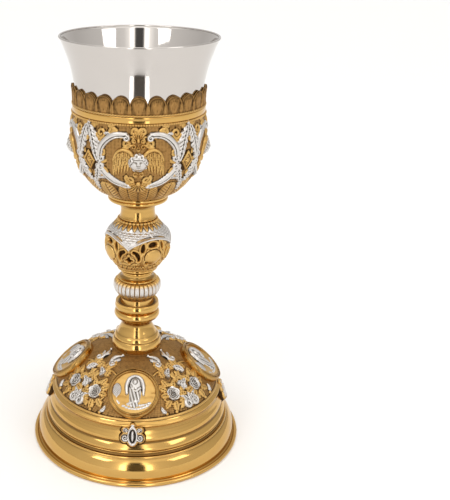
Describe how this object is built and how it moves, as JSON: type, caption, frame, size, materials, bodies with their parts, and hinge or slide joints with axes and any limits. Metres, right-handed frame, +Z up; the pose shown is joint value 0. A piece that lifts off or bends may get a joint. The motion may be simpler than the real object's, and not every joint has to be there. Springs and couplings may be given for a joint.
{
  "type": "communion chalice",
  "caption": "Footed church chalice: flared silver cup in a chased gilt calyx, knopped stem and domed foot.",
  "frame": {"origin": "centre of the foot's resting face, on the table", "axes": "+Z up along the stem, -Y towards the front cartouche and medallion, +X to its right"},
  "size_m": [0.15, 0.15, 0.2863],
  "materials": {
    "gilt_polished": "polished gilt, fine spun lines",
    "gilt_chased": "gilt, chased, with brown patina in the recesses",
    "gilt_silvered_flutes": "flutes gilt above and silver below",
    "silver_relief": "cast silver with dark patina in the recesses",
    "silver_polished": "mirror-polished silver",
    "plated_brass": "turned, plain",
    "steel_fixings": "zinc-plated fixings",
    "seat_washer": "hard fibre washer"
  },
  "bodies": {
    "root": {"acanthus_sprays": "silver_relief", "base_dome": "gilt_chased", "base_nut": "steel_fixings", "base_pendants": "silver_relief", "base_rim": "gilt_polished", "base_skirt": "gilt_polished", "base_washer": "steel_fixings", "bead_wire": "gilt_chased", "calyx_band": "gilt_polished", "calyx_foot_ring": "gilt_polished", "calyx_shell": "gilt_chased", "cartouche_palmettes": "gilt_chased", "cartouche_scrolls": "silver_relief", "cartouche_shells": "gilt_chased", "cherub_heads": "silver_relief", "cherub_wings": "gilt_chased", "crown_plate": "plated_brass", "crown_scrolls": "silver_relief", "flank_leaves": "silver_relief", "foot_acanthus": "silver_relief", "gadroon_ring": "gilt_silvered_flutes", "gadroon_saucer": "gilt_polished", "knop_collar": "gilt_polished", "knop_core": "plated_brass", "knop_lower_shell": "gilt_chased", "knop_upper_shell": "silver_relief", "leaf_collar": "gilt_chased", "lozenge_rosettes": "gilt_chased", "medallion_figures": "silver_relief", "medallion_frames": "gilt_chased", "medallion_plates": "gilt_chased", "neck_beads": "gilt_chased", "neck_collar": "gilt_polished", "petal_collar": "gilt_chased", "rod_coupling": "plated_brass", "rope_wire": "gilt_chased", "rose_buds": "silver_relief", "rose_leaves": "gilt_chased", "roses": "silver_relief", "stem_bell": "gilt_polished", "stem_dish": "gilt_polished", "stem_torus": "gilt_polished", "tie_rod": "steel_fixings"},
    "cup_seat": {"cup_washer": "seat_washer"},
    "cup": {"cup_liner": "silver_polished", "cup_stud": "silver_polished"}
  },
  "joints": [
    {"name": "cup_rise", "type": "slide", "parent": "root", "child": "cup_seat", "axis": [0, 0, 1], "range_m": [0, 0.0151]},
    {"name": "cup_turn", "type": "hinge", "parent": "cup_seat", "child": "cup", "pos_m": [0, 0, 0.18], "axis": [0, 0, 1], "range_deg": [0, 4320]}
  ],
  "couplings": [
    {"joint": "cup_rise", "follows": "cup_turn", "m_per_rad": 0.00019894}
  ]
}
